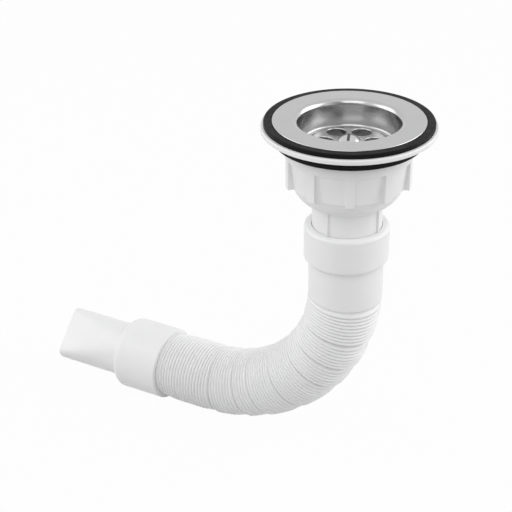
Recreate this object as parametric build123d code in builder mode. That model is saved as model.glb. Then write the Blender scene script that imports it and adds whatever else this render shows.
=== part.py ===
"""Sink strainer waste with its flexible drain hose, in millimetres, +Z up.

The origin is on the drain axis, on the plane where the sink sheet meets the lower gasket.
The hose bends in the XZ plane, towards -X.
"""
import os
from math import cos, degrees, radians, sin

from build123d import *

# clearances, and how far a cut runs past what it cuts
fit_gap = 0.3
neck_gap = 0.4
sink_sheet = 1.0
cut_past = 2.0

# strainer dish, pressed from sheet
dish_t = 0.8
dish_flange_r = 39.15
dish_wall_r = 26.0
dish_depth = 16.0
lip_r = 3.2
plug_run = 4.2
wall_draft = 0.6
corner_r = 1.2
seat_r = 7.0
seat_rise = 5.3
knee_r = 18.5
knee_rise = 2.5
petal_count = 6
petal_r = 4.9
petal_pitch_r = 13.0
petal_phase = 30.0

# slotted screw
head_r = 5.8
head_h = 2.9
head_edge_h = 0.9
shank_r = 2.5
shank_end = 1.5
slot_w = 1.5
slot_depth = 1.3
slot_turn = 110.0

# gaskets
upper_gasket_border = 4.3
upper_gasket_t = 1.85
upper_gasket_rim = 0.45
upper_gasket_gap = 1.3
lower_gasket_width = 9.2
lower_gasket_t = 5.9
lower_gasket_edge = 0.8

# flanged bush
bush_flange_r = 45.0
bush_flange_t = 2.65
barrel_r = 29.1
barrel_bore_r = 27.6
barrel_drop = 13.0
boss_r = 6.0
arm_count = 3
arm_w = 3.0
arm_h = 6.5
arm_root = 1.0

# drain cup
rim_r = 32.65
rim_h = 6.1
panel_r = 30.9
panel_drop = 22.85
cup_wall = 1.5
grip_count = 10
grip_w = 4.6
grip_phase = -63.0
neck_wall = 1.8
bowl_in = 3.7
bowl_h = 7.15
cone_drop = 36.3
neck_drop = 62.8
neck_rib_count = 4
neck_rib_w = 1.5
neck_rib_out = 1.0
neck_rib_phase = -7.0

# inlet cuff
cuff_wall = 2.75
cuff_top_drop = 47.2
cuff_h = 20.5
cuff_top_edge = 1.9
cuff_foot_edge = 2.4

# hose: socket, sleeve, bellows and stub in one moulding
hose_r = 20.0
hose_wall = 1.0
socket_wall = 1.1
socket_top_drop = 47.7
socket_depth = 16.3
sleeve_run = 22.8
drop_run = 17.4
bend_r = 86.2
straight_run = 28.5
ridge_depth = 1.05
fold_depth = 2.0
band_run = 3.75
bend_groups = (8, 6, 5, 9, 8, 4, 7, 2)
end_ridge_count = 14
stub_wall = 1.4
stub_run = 1.8
stub_plug = 18.0
bore_step_count = 8

# outlet tail
tail_cuff_wall = 3.26
stub_room = 2.0
tail_cuff_len = 27.0
tail_shoulder = 4.5
tail_r = 16.25
tail_wall = 2.0
tail_len = 44.0
tail_tip_half = 9.5
tail_flat_start = 3.0
tail_roll = 45.0

# levels that follow from the sizes above
bush_z = lower_gasket_t
upper_gasket_z = bush_z + bush_flange_t
dish_under_z = upper_gasket_z + upper_gasket_t
face_z = dish_under_z + dish_t
floor_z = face_z - dish_depth
knee_z = floor_z + knee_rise
seat_z = floor_z + seat_rise
boss_top_z = seat_z - dish_t
cuff_foot_z = -cuff_top_drop - cuff_h

# rings that follow what they go round
upper_gasket_r = dish_flange_r + upper_gasket_border
upper_gasket_bore_r = barrel_r + upper_gasket_gap
lower_gasket_r = barrel_r + fit_gap + lower_gasket_width

# fits that follow the hose
neck_r = hose_r - socket_wall - neck_gap
cuff_r = hose_r + fit_gap + cuff_wall

os.makedirs("parts", exist_ok=True)


# strainer dish: flange, rolled lip, straight run for a plug, drafted wall, and a pierced floor
# that rises to the screw's seat
lip_mid = lip_r * sin(radians(45))
plug_foot_z = face_z - lip_r - plug_run
wall_foot_r = dish_wall_r - wall_draft
with BuildPart() as strainer_dish:
    with BuildSketch(Plane.XZ):
        with BuildLine():
            Polyline(
                (0, seat_z),
                (seat_r, seat_z),
                (knee_r, knee_z),
                (wall_foot_r - corner_r, floor_z),
                (wall_foot_r, floor_z + corner_r),
                (dish_wall_r, plug_foot_z),
                (dish_wall_r, face_z - lip_r),
                (dish_wall_r + lip_r - lip_mid, face_z - lip_r + lip_mid),
                (dish_wall_r + lip_r, face_z),
                (dish_flange_r, face_z),
                (dish_flange_r, dish_under_z),
                (dish_wall_r + lip_r, dish_under_z),
                (dish_wall_r + dish_t, face_z - lip_r),
                (dish_wall_r + dish_t, plug_foot_z),
                (wall_foot_r + dish_t, floor_z + corner_r * 0.6),
                (wall_foot_r - corner_r * 0.6, floor_z - dish_t),
                (knee_r, knee_z - dish_t),
                (seat_r, boss_top_z),
                (0, boss_top_z),
                close=True,
            )
        make_face()
    revolve(axis=Axis.Z)
    with BuildSketch(Plane.XY.offset(floor_z - dish_t)):
        Circle(shank_r + fit_gap)
        with PolarLocations(petal_pitch_r, petal_count, start_angle=petal_phase):
            Circle(petal_r)
    extrude(amount=seat_rise + dish_t, mode=Mode.SUBTRACT)
strainer_dish.part.label = "strainer_dish"
export_step(strainer_dish.part, "parts/strainer_dish.step")


# centre screw: low dome with a driver slot, plain shank down into the boss
with BuildPart() as centre_screw:
    with BuildSketch(Plane.XZ):
        with BuildLine():
            Polyline(
                (0, seat_z + head_h),
                (head_r * 0.45, seat_z + head_h * 0.9),
                (head_r * 0.8, seat_z + head_h * 0.62),
                (head_r, seat_z + head_edge_h * 0.6),
                (head_r, seat_z),
                (shank_r, seat_z),
                (shank_r, -barrel_drop - shank_end),
                (0, -barrel_drop - shank_end),
                close=True,
            )
        make_face()
    revolve(axis=Axis.Z)
    with BuildSketch(Plane.XY.offset(seat_z + head_h)):
        Rectangle(2 * (head_r + cut_past), slot_w, rotation=slot_turn)
    extrude(amount=-slot_depth, mode=Mode.SUBTRACT)
centre_screw.part.label = "centre_screw"
export_step(centre_screw.part, "parts/centre_screw.step")


# dish gasket: flat ring with a low rim that locates the steel flange
with BuildPart() as dish_gasket:
    with BuildSketch(Plane.XY.offset(upper_gasket_z)):
        Circle(upper_gasket_r)
        Circle(upper_gasket_bore_r, mode=Mode.SUBTRACT)
    extrude(amount=upper_gasket_t)
    with BuildSketch(Plane.XY.offset(dish_under_z)):
        Circle(upper_gasket_r)
        Circle(dish_flange_r + fit_gap, mode=Mode.SUBTRACT)
    extrude(amount=upper_gasket_rim)
dish_gasket.part.label = "dish_gasket"
export_step(dish_gasket.part, "parts/dish_gasket.step")


# flanged bush: flange, threaded barrel, and a boss on arms for the screw
with BuildPart() as flanged_bush:
    with BuildSketch(Plane.XY.offset(bush_z)):
        Circle(bush_flange_r)
    extrude(amount=bush_flange_t)
    with BuildSketch(Plane.XY.offset(bush_z)):
        Circle(barrel_r)
    extrude(amount=-bush_z - barrel_drop)
    with BuildSketch(Plane.XY.offset(upper_gasket_z)):
        Circle(barrel_bore_r)
    extrude(amount=-upper_gasket_z - barrel_drop, mode=Mode.SUBTRACT)
    with BuildSketch(Plane.XY.offset(-barrel_drop)):
        Circle(boss_r)
    extrude(amount=barrel_drop + boss_top_z)
    arm_mid = (boss_r + barrel_bore_r) / 2
    with BuildSketch(Plane.XY.offset(-barrel_drop)):
        with PolarLocations(arm_mid, arm_count):
            Rectangle(barrel_bore_r - boss_r + 2 * arm_root, arm_w)
    extrude(amount=arm_h)
    with BuildSketch(Plane.XY.offset(boss_top_z)):
        Circle(shank_r + fit_gap)
    extrude(amount=-boss_top_z - barrel_drop, both=True, mode=Mode.SUBTRACT)
flanged_bush.part.label = "flanged_bush"
export_step(flanged_bush.part, "parts/flanged_bush.step")


# sink gasket: thick ring under the flange, its foot lies on the sink
with BuildPart() as sink_gasket:
    with BuildSketch():
        Circle(lower_gasket_r)
        Circle(barrel_r + fit_gap, mode=Mode.SUBTRACT)
    extrude(amount=lower_gasket_t)
    foot = sink_gasket.edges().filter_by(GeomType.CIRCLE).group_by(Axis.Z)[0].sort_by(SortBy.RADIUS)[-1]
    chamfer(foot, length=lower_gasket_edge)
sink_gasket.part.label = "sink_gasket"
export_step(sink_gasket.part, "parts/sink_gasket.step")


# drain cup: rim, panelled wall with grip ribs, bowl and outlet neck in one moulding
cup_bore_r = barrel_r + fit_gap
neck_bore_r = neck_r - neck_wall
bowl_r = panel_r - bowl_in
bowl_z = -panel_drop - bowl_h
with BuildPart() as drain_cup:
    with BuildSketch(Plane.XZ):
        with BuildLine():
            Polyline(
                (cup_bore_r, -sink_sheet),
                (rim_r, -sink_sheet),
                (rim_r, -sink_sheet - rim_h),
                (panel_r, -sink_sheet - rim_h),
                (panel_r, -panel_drop),
                (bowl_r, bowl_z),
                (neck_r, -cone_drop),
                (neck_r, -neck_drop),
                (neck_bore_r, -neck_drop),
                (neck_bore_r, -cone_drop + cup_wall),
                (bowl_r - cup_wall * 0.8, bowl_z + cup_wall * 0.7),
                (cup_bore_r, -panel_drop + cup_wall),
                close=True,
            )
        make_face()
    revolve(axis=Axis.Z)
    grip_mid = (cup_bore_r + panel_r) / 2
    with BuildSketch(Plane.XY.offset(-panel_drop)):
        with PolarLocations((grip_mid + rim_r) / 2, grip_count, start_angle=grip_phase):
            Rectangle(rim_r - grip_mid, grip_w)
    extrude(amount=panel_drop - sink_sheet - rim_h)
    rib_mid = neck_r - neck_wall / 2
    with BuildSketch(Plane.XY.offset(-socket_top_drop)):
        rib_r = (rib_mid + neck_r + neck_rib_out) / 2
        with PolarLocations(rib_r, neck_rib_count, start_angle=neck_rib_phase):
            Rectangle(neck_r + neck_rib_out - rib_mid, neck_rib_w)
    extrude(amount=socket_top_drop - cone_drop + cup_wall)
drain_cup.part.label = "drain_cup"
export_step(drain_cup.part, "parts/drain_cup.step")


# inlet cuff: clamping ring round the hose socket
with BuildPart() as inlet_cuff:
    with BuildSketch(Plane.XY.offset(cuff_foot_z)):
        Circle(cuff_r)
        Circle(hose_r + fit_gap, mode=Mode.SUBTRACT)
    extrude(amount=cuff_h)
    rings = inlet_cuff.edges().filter_by(GeomType.CIRCLE)
    chamfer(rings.group_by(Axis.Z)[-1].sort_by(SortBy.RADIUS)[-1], length=cuff_top_edge)
    rings = inlet_cuff.edges().filter_by(GeomType.CIRCLE)
    foot_ring = rings.group_by(Axis.Z)[0].sort_by(SortBy.RADIUS)[-1]
    chamfer(foot_ring, length=cuff_foot_edge, length2=cuff_foot_edge * 0.8)
inlet_cuff.part.label = "inlet_cuff"
export_step(inlet_cuff.part, "parts/inlet_cuff.step")


# hose centreline: down out of the cuff, round one bend, then level
with BuildLine(Plane.XZ) as centre:
    drop = Line((0, cuff_foot_z), (0, cuff_foot_z - drop_run))
    bend = JernArc(drop @ 1, (0, -1), bend_r, -90)
    Line(bend @ 1, bend @ 1 + Vector(-straight_run, 0, 0))
run = centre.wires()[0]
run_len = run.length
hose_end = run @ 1
end_plane = Plane(origin=hose_end, x_dir=(0, 1, 0), z_dir=(-1, 0, 0))


def across(distance):
    """Return the plane square to the hose at a distance along its centreline."""
    share = distance / run_len
    return Plane(origin=run @ share, x_dir=(0, 1, 0), z_dir=run % share)


# every group starts in a fold with a smooth band, and its ridges follow; the last group runs on level
level_start = run_len - straight_run
bellows_end = run_len - stub_run
bands_len = band_run * len(bend_groups)
pitch = (level_start - sleeve_run - bands_len) / (sum(bend_groups) + 0.5)
end_pitch = (bellows_end - level_start) / (end_ridge_count - 0.5)

# flanks of ridges have one slope and bands a gentler one, so all are deepest on the outside of the bend
ridge_slope = 2 * ridge_depth / pitch
band_slope = fold_depth / (band_run - pitch / 2)
outside = 1 + hose_r / bend_r
hose_bore_r = hose_r - fold_depth * outside - hose_wall
stub_r = hose_bore_r + stub_wall

# where each ridge starts, where its crest is, and how it rises
ridges = []
place = sleeve_run
for count in bend_groups:
    ridges.append((place, place + band_run - pitch / 2, band_slope))
    place += band_run
    for ridge in range(count):
        ridges.append((place, place + pitch / 2, ridge_slope))
        place += pitch
for ridge in range(end_ridge_count):
    ridges.append((place, level_start + ridge * end_pitch, ridge_slope))
    place = level_start + (ridge + 0.5) * end_pitch


def make_ridge(start, crest, end, rise):
    """Return one ridge: two cones back to back on the crest, cut off square to the hose."""
    near = (crest - start) * outside * outside
    far = (end - crest) * outside * outside
    with BuildPart(across(crest)) as ridge:
        Cone(hose_r - rise * near, hose_r, near, align=(Align.CENTER, Align.CENTER, Align.MAX))
        Cone(hose_r, hose_r - ridge_slope * far, far, align=(Align.CENTER, Align.CENTER, Align.MIN))
        split(bisect_by=across(start), keep=Keep.TOP)
        split(bisect_by=across(end), keep=Keep.BOTTOM)
    return ridge.part


with BuildPart() as hose:
    with BuildLine(Plane.XZ) as sleeve_line:
        Line((0, -socket_top_drop), drop @ 1)
        JernArc(drop @ 1, (0, -1), bend_r, -degrees((sleeve_run - drop_run) / bend_r))
    with BuildSketch(Plane.XY.offset(-socket_top_drop)):
        Circle(hose_r)
    sweep(path=sleeve_line.wires()[0])
    ends = [start for start, crest, rise in ridges[1:]] + [bellows_end]
    for (start, crest, rise), end in zip(ridges, ends):
        add(make_ridge(start, crest, end, rise))
    with BuildSketch(across(bellows_end)):
        Circle(stub_r)
    extrude(amount=stub_run + stub_plug)
    with BuildSketch(Plane.XY.offset(-socket_top_drop)):
        Circle(neck_r + neck_gap)
    extrude(amount=-socket_depth, mode=Mode.SUBTRACT)
    way_top = -socket_top_drop - socket_depth / 2
    steps = [run @ (step / bore_step_count) for step in range(bore_step_count + 1)]
    with BuildLine() as way_line:
        Polyline((0, 0, way_top), *steps, hose_end - Vector(stub_plug + cut_past, 0, 0))
    with BuildSketch(Plane.XY.offset(way_top)):
        Circle(hose_bore_r)
    sweep(path=way_line.wires()[0], transition=Transition.RIGHT, mode=Mode.SUBTRACT)
hose.part.label = "hose"
export_step(hose.part, "parts/hose.step")


# outlet tail: socket cuff and a spigot pressed to two sloping flats
tail_side = Vector(0, -sin(radians(tail_roll)), cos(radians(tail_roll)))
tail_plane = Plane(origin=hose_end, x_dir=(-1, 0, 0), z_dir=Vector(-1, 0, 0).cross(tail_side))
tail_tip = tail_cuff_len + tail_shoulder + tail_len
flat_from = tail_cuff_len + tail_shoulder + tail_flat_start
tail_cuff_r = stub_r + fit_gap + tail_cuff_wall
tail_axis = Axis(hose_end, (-1, 0, 0))
with BuildPart() as tail_way:
    with BuildSketch(tail_plane):
        with BuildLine():
            Polyline(
                (tail_cuff_len, 0),
                (tail_tip + cut_past, 0),
                (tail_tip + cut_past, tail_r - tail_wall),
                (tail_cuff_len, tail_r - tail_wall),
                close=True,
            )
        make_face()
    revolve(axis=tail_axis)
    with BuildSketch(tail_plane):
        with BuildLine():
            Polyline(
                (flat_from, tail_r - tail_wall),
                (tail_tip, tail_tip_half - tail_wall),
                (tail_tip + cut_past, tail_tip_half - tail_wall),
                (tail_tip + cut_past, tail_r + cut_past),
                (flat_from, tail_r + cut_past),
                close=True,
            )
        make_face()
        mirror(about=Plane(tail_plane.origin, x_dir=tail_plane.x_dir, z_dir=tail_plane.y_dir))
    extrude(amount=2 * tail_r, both=True, mode=Mode.SUBTRACT)

with BuildPart() as outlet_tail:
    with BuildSketch(tail_plane):
        with BuildLine():
            Polyline(
                (0, 0),
                (0, tail_cuff_r),
                (tail_cuff_len, tail_cuff_r),
                (tail_cuff_len + tail_shoulder * 0.7, tail_cuff_r - (tail_cuff_r - tail_r) * 0.35),
                (tail_cuff_len + tail_shoulder, tail_r),
                (tail_tip, tail_r),
                (tail_tip, 0),
                close=True,
            )
        make_face()
    revolve(axis=tail_axis)
    with BuildSketch(tail_plane):
        with BuildLine():
            Polyline(
                (flat_from, tail_r),
                (tail_tip, tail_tip_half),
                (tail_tip + cut_past, tail_tip_half),
                (tail_tip + cut_past, tail_r + cut_past),
                (flat_from, tail_r + cut_past),
                close=True,
            )
        make_face()
        mirror(about=Plane(tail_plane.origin, x_dir=tail_plane.x_dir, z_dir=tail_plane.y_dir))
    extrude(amount=2 * tail_r, both=True, mode=Mode.SUBTRACT)
    with BuildSketch(end_plane):
        Circle(stub_r + fit_gap)
    extrude(amount=stub_plug + stub_room, mode=Mode.SUBTRACT)
    with BuildSketch(end_plane):
        Circle(tail_r - tail_wall)
    extrude(amount=tail_cuff_len, mode=Mode.SUBTRACT)
    add(tail_way.part, mode=Mode.SUBTRACT)
outlet_tail.part.label = "outlet_tail"
export_step(outlet_tail.part, "parts/outlet_tail.step")
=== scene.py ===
"""Dress the flexible sink drain hose, from the steel strainer down to the flattened outlet tail.

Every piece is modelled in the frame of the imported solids, in metres, and stands for one of them.
Sizes are written in millimetres and turned into metres where a mesh is made.
"""

import logging
from dataclasses import dataclass, field
from enum import Enum
from math import asin, atan2, cos, degrees, inf, pi, radians, sin, sqrt
from typing import Iterable, Mapping, Sequence

import bmesh
import bpy
from bmesh.types import BMEdge, BMFace, BMesh, BMVert
from mathutils import Matrix, Vector


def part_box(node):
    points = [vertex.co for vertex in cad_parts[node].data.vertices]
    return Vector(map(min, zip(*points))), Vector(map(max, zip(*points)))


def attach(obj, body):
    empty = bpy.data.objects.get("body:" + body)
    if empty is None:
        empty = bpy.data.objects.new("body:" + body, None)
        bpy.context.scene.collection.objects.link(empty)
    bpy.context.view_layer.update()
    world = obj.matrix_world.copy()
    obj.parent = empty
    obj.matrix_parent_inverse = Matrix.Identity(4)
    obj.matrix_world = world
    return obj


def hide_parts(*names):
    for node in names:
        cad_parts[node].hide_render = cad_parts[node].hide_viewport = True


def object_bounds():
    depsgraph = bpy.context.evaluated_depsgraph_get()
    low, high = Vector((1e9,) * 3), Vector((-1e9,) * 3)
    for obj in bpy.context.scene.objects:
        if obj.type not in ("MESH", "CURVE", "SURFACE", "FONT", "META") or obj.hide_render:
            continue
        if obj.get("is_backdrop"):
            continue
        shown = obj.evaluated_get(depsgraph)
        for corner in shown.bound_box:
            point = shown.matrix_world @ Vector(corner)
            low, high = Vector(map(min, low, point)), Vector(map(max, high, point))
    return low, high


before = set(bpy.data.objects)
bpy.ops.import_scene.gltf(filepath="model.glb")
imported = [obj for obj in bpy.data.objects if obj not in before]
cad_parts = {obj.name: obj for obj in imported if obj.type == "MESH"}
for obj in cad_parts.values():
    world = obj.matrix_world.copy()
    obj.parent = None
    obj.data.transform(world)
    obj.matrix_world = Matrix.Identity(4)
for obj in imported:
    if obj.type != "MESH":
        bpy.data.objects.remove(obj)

MM = 0.001
BODY = "root"
WELD = 1e-7
# Millimetres within which a face or a corner counts as lying on a surface.
NEAR = 0.1
# Columns round the wide rings.
RING_COLUMNS = 192
# Where most of a noise's values lie, and the octaves of a fine one.
NOISE_MIDDLE = (0.3, 0.7)
FINE_DETAIL = 2.0
# Face attribute that marks where painted shade darkens the steel colour: the inside of the screw's slot.
SLOT_SHADE = "painted_slot_shade"
LOG = logging.getLogger("drain_hose")

Tone = tuple[float, float, float]
Point = tuple[float, float]
Range = tuple[float, float]
Socket = bpy.types.NodeSocket


class Slot(Enum):
    """Material slots of the record."""

    DISH = "dish_steel"
    SCREW = "screw_steel"
    RUBBER = "black_rubber"
    PLASTIC = "white_plastic"
    HOSE = "hose_plastic"


@dataclass(frozen=True)
class Corner:
    """One corner of a turned profile, in millimetres.

    Attributes:
        r: Distance from the axis.
        z: Height along the axis.
        soft: How far the rounding reaches along both edges.
    """

    r: float
    z: float
    soft: float = 0.0


class NodeTree:
    """A material's or world's nodes, with short calls to add and join them."""

    def __init__(self, tree: bpy.types.NodeTree) -> None:
        """Empty the tree.

        Args:
            tree: The tree to fill.
        """
        self.tree = tree
        self.tree.nodes.clear()

    def add(
        self, kind: str, values: Mapping[str | int, object] | None = None, **settings: object,
    ) -> bpy.types.Node:
        """Add one node.

        Args:
            kind: Blender's name of the node's type.
            values: What its inputs hold, by name or number.
            **settings: Attributes to set on it.

        Returns:
            The new node.
        """
        node = self.tree.nodes.new(kind)
        for name, value in settings.items():
            setattr(node, name, value)
        for key, value in (values or {}).items():
            node.inputs[key].default_value = value
        return node

    def join(self, out: Socket, into: Socket) -> None:
        """Link an output socket to an input socket."""
        self.tree.links.new(out, into)

    def noise(self, place: Socket, scale: float, detail: float = 3.0) -> Socket:
        """Add a noise texture.

        Args:
            place: Coordinates to read.
            scale: Repeats in each metre.
            detail: Octaves.

        Returns:
            The noise's value socket.
        """
        node = self.add("ShaderNodeTexNoise", {"Scale": scale, "Detail": detail})
        self.join(place, node.inputs["Vector"])
        return node.outputs["Fac"]

    def spread(self, value: Socket, low: float, high: float) -> Socket:
        """Map the middle of a noise's range to new limits.

        Args:
            value: The noise.
            low: What the dark side becomes.
            high: What the light side becomes.

        Returns:
            The mapped value socket.
        """
        dark, light = NOISE_MIDDLE
        limits = {"From Min": dark, "From Max": light, "To Min": low, "To Max": high}
        node = self.add("ShaderNodeMapRange", limits)
        self.join(value, node.inputs["Value"])
        return node.outputs["Result"]

    def tint(self, value: Socket, one: Tone, other: Tone) -> Socket:
        """Blend two colours over the middle of a noise's range.

        Args:
            value: The noise.
            one: Colour of the dark side.
            other: Colour of the light side.

        Returns:
            The colour socket.
        """
        ramp = self.add("ShaderNodeValToRGB")
        for stop, place, tone in zip(ramp.color_ramp.elements, NOISE_MIDDLE, (one, other)):
            stop.position = place
            stop.color = (*tone, 1.0)
        self.join(value, ramp.inputs["Fac"])
        return ramp.outputs["Color"]

    def bump(self, height: Socket, depth: float, strength: float) -> Socket:
        """Turn a height into a bumped normal.

        Args:
            height: The height, nought to one.
            depth: Metres from the lowest to the highest point.
            strength: Share of the effect.

        Returns:
            The normal socket.
        """
        node = self.add("ShaderNodeBump", {"Distance": depth, "Strength": strength})
        self.join(height, node.inputs["Height"])
        return node.outputs["Normal"]

    def blend(self, share: Socket, one: Socket, other: Socket) -> Socket:
        """Mix two shaders.

        Args:
            share: Share of the second one, nought to one.
            one: The first shader.
            other: The second shader.

        Returns:
            The mixed shader's socket.
        """
        node = self.add("ShaderNodeMixShader")
        for out, into in zip((share, one, other), node.inputs):
            self.join(out, into)
        return node.outputs["Shader"]


@dataclass(frozen=True)
class Finish:
    """What every finish has: a name, two close tones and a range of roughness."""

    name: str
    tone: Tone
    deep: Tone
    gloss: Range

    def material(self) -> bpy.types.Material:
        """Make the material once and return it each time.

        Returns:
            The finish as a node material.
        """
        made = bpy.data.materials.get(self.name)
        if made is None:
            made = bpy.data.materials.new(self.name)
            made.use_nodes = True
            tree = NodeTree(made.node_tree)
            shader = tree.add("ShaderNodeBsdfPrincipled")
            output = tree.add("ShaderNodeOutputMaterial")
            tree.join(shader.outputs["BSDF"], output.inputs["Surface"])
            place = tree.add("ShaderNodeTexCoord").outputs["Object"]
            looks = self.paint(tree, shader, place)
            for look, name in zip(looks, ("Base Color", "Roughness", "Normal")):
                tree.join(look, shader.inputs[name])
        return made

    def paint(self, tree: NodeTree, shader: bpy.types.Node, place: Socket) -> tuple[Socket, Socket, Socket]:
        """Work out the looks; each kind of finish has its own way.

        Args:
            tree: The material's nodes.
            shader: The surface shader, for what doesn't vary.
            place: Object coordinates.

        Returns:
            Colour, roughness and normal.
        """
        raise NotImplementedError


@dataclass(frozen=True)
class PlasticFinish(Finish):
    """Moulded white plastic: faint clouding, fine spark grain and a little depth to the light."""

    clouds: float = 45.0
    gloss_patches: float = 160.0
    grain: float = 1400.0
    grain_depth: float = 0.00002
    grain_strength: float = 0.35
    glow: float = 0.12
    glow_reach: float = 0.0006

    def paint(self, tree: NodeTree, shader: bpy.types.Node, place: Socket) -> tuple[Socket, Socket, Socket]:
        """Cloud the colour, vary the gloss and bump the grain.

        Args:
            tree: The material's nodes.
            shader: The surface shader, for what doesn't vary.
            place: Object coordinates.

        Returns:
            Colour, roughness and normal.
        """
        shader.inputs["Subsurface Weight"].default_value = self.glow
        shader.inputs["Subsurface Radius"].default_value = (1.0, 1.0, 1.0)
        shader.inputs["Subsurface Scale"].default_value = self.glow_reach
        colour = tree.tint(tree.noise(place, self.clouds), self.deep, self.tone)
        gloss = tree.spread(tree.noise(place, self.gloss_patches), *self.gloss)
        grain = tree.noise(place, self.grain, FINE_DETAIL)
        return colour, gloss, tree.bump(grain, self.grain_depth, self.grain_strength)


@dataclass(frozen=True)
class SteelFinish(Finish):
    """Stainless sheet: fine rings from the lathe, soft patches of gloss, and painted shade that darkens the
    colour of marked faces.
    """

    rings: float = 5200.0
    ring_depth: float = 0.000012
    ring_strength: float = 0.5
    patches: float = 90.0
    # Share of the colour that the painted shade takes away on marked faces.
    slot_shade_loss: float = 0.9

    def paint(self, tree: NodeTree, shader: bpy.types.Node, place: Socket) -> tuple[Socket, Socket, Socket]:
        """Brush the sheet in rings round the drain axis, and darken the colour of marked faces with painted
        shade.

        Args:
            tree: The material's nodes.
            shader: The surface shader, for what doesn't vary.
            place: Object coordinates.

        Returns:
            Colour, roughness and normal.
        """
        shader.inputs["Metallic"].default_value = 1.0
        flat = tree.add("ShaderNodeVectorMath", {1: (1.0, 1.0, 0.0)}, operation="MULTIPLY")
        tree.join(place, flat.inputs[0])
        reach = tree.add("ShaderNodeVectorMath", operation="LENGTH")
        tree.join(flat.outputs["Vector"], reach.inputs[0])
        fineness = {"Scale": self.rings, "Detail": FINE_DETAIL}
        brush = tree.add("ShaderNodeTexNoise", fineness, noise_dimensions="1D")
        tree.join(reach.outputs["Value"], brush.inputs["W"])
        patch = tree.noise(place, self.patches)
        # Painted shade: the colour is scaled down where the face attribute is set, inside the screw's slot.
        painted_slot_shade = tree.add("ShaderNodeAttribute", attribute_name=SLOT_SHADE)
        shade_factor = tree.add("ShaderNodeMath", {1: -self.slot_shade_loss, 2: 1.0}, operation="MULTIPLY_ADD")
        tree.join(painted_slot_shade.outputs["Fac"], shade_factor.inputs[0])
        colour = tree.add("ShaderNodeVectorMath", operation="SCALE")
        tree.join(tree.tint(patch, self.deep, self.tone), colour.inputs[0])
        tree.join(shade_factor.outputs["Value"], colour.inputs["Scale"])
        normal = tree.bump(brush.outputs["Fac"], self.ring_depth, self.ring_strength)
        return colour.outputs["Vector"], tree.spread(patch, *self.gloss), normal


@dataclass(frozen=True)
class RubberFinish(Finish):
    """Black moulded rubber: matt, with a fine pitted skin and a pale bloom in places."""

    bloom: float = 120.0
    gloss_patches: float = 240.0
    pits: float = 1900.0
    pit_depth: float = 0.00004
    pit_strength: float = 0.5
    mirror: float = 0.1

    def paint(self, tree: NodeTree, shader: bpy.types.Node, place: Socket) -> tuple[Socket, Socket, Socket]:
        """Bloom the colour, vary the gloss and pit the skin.

        Args:
            tree: The material's nodes.
            shader: The surface shader, for what doesn't vary.
            place: Object coordinates.

        Returns:
            Colour, roughness and normal.
        """
        shader.inputs["Specular IOR Level"].default_value = self.mirror
        colour = tree.tint(tree.noise(place, self.bloom), self.deep, self.tone)
        gloss = tree.spread(tree.noise(place, self.gloss_patches), *self.gloss)
        pits = tree.noise(place, self.pits, FINE_DETAIL)
        return colour, gloss, tree.bump(pits, self.pit_depth, self.pit_strength)


DISH_STEEL = SteelFinish(
    "brushed_dish_steel", tone=(0.51, 0.51, 0.51), deep=(0.48, 0.48, 0.485), gloss=(0.20, 0.26),
)
SCREW_STEEL = SteelFinish(
    "turned_screw_steel", tone=(0.60, 0.60, 0.60), deep=(0.53, 0.53, 0.54), gloss=(0.12, 0.20),
    rings=2600.0,
)
BLACK_RUBBER = RubberFinish(
    "moulded_black_rubber", tone=(0.006, 0.006, 0.006), deep=(0.004, 0.004, 0.0042), gloss=(0.40, 0.56),
)
WHITE_PLASTIC = PlasticFinish(
    "moulded_white_plastic", tone=(0.86, 0.86, 0.86), deep=(0.83, 0.83, 0.835), gloss=(0.30, 0.42),
)
HOSE_PLASTIC = PlasticFinish(
    "blown_hose_plastic", tone=(0.86, 0.86, 0.86), deep=(0.84, 0.84, 0.845), gloss=(0.34, 0.46),
    grain=1100.0, glow=0.0,
)


def turned(
    profile: Sequence[Corner],
    steps: int = 144,
    closed: bool = True,
    round_steps: int = 5,
    long_cuts: int = 0,
) -> BMesh:
    """Spin a profile round the Z axis.

    Args:
        profile: Corners in order.
        steps: Columns round the axis.
        closed: Whether the last corner joins the first.
        round_steps: Segments in each rounded corner.
        long_cuts: Extra rings on each edge that is longer than the widest corner's radius.

    Returns:
        The turned skin, with normals outwards.
    """
    bm = bmesh.new()
    verts = [bm.verts.new((corner.r * MM, 0.0, corner.z * MM)) for corner in profile]
    followers = verts[1:] + verts[:1] if closed else verts[1:]
    for pair in zip(verts, followers):
        bm.edges.new(pair)
    for vert, corner in zip(verts, profile):
        if corner.soft:
            bmesh.ops.bevel(
                bm, geom=[vert], offset=corner.soft * MM, offset_type="OFFSET", affect="VERTICES",
                segments=round_steps, profile=0.5, material=-1,
            )
    if long_cuts:
        widest = max(corner.r for corner in profile) * MM
        long_edges = [edge for edge in bm.edges if edge.calc_length() > widest]
        bmesh.ops.subdivide_edges(bm, edges=long_edges, cuts=long_cuts)
    outline = bm.verts[:] + bm.edges[:]
    bmesh.ops.spin(bm, geom=outline, axis=(0, 0, 1), angle=2 * pi, steps=steps, use_merge=True)
    bmesh.ops.remove_doubles(bm, verts=bm.verts, dist=WELD)
    bmesh.ops.recalc_face_normals(bm, faces=bm.faces)
    return bm


class Skin:
    """A skin that grows ring by ring from a loop of edges."""

    def __init__(self, bm: BMesh, loop: Iterable[BMEdge], place: Matrix) -> None:
        """Start from a loop that already lies at a place.

        Args:
            bm: The mesh that holds the loop.
            loop: Its edges.
            place: The matrix that would carry a unit circle to the loop.
        """
        self.bm = bm
        self.loop = list(loop)
        self.place = place

    def grow(self, place: Matrix) -> None:
        """Extrude the loop to the next place.

        Args:
            place: The matrix that would carry a unit circle to the new loop.
        """
        made = bmesh.ops.extrude_edge_only(self.bm, edges=self.loop)["geom"]
        verts = [part for part in made if isinstance(part, BMVert)]
        bmesh.ops.transform(self.bm, matrix=place @ self.place.inverted(), verts=verts)
        self.loop = [part for part in made if isinstance(part, BMEdge)]
        self.place = place


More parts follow.
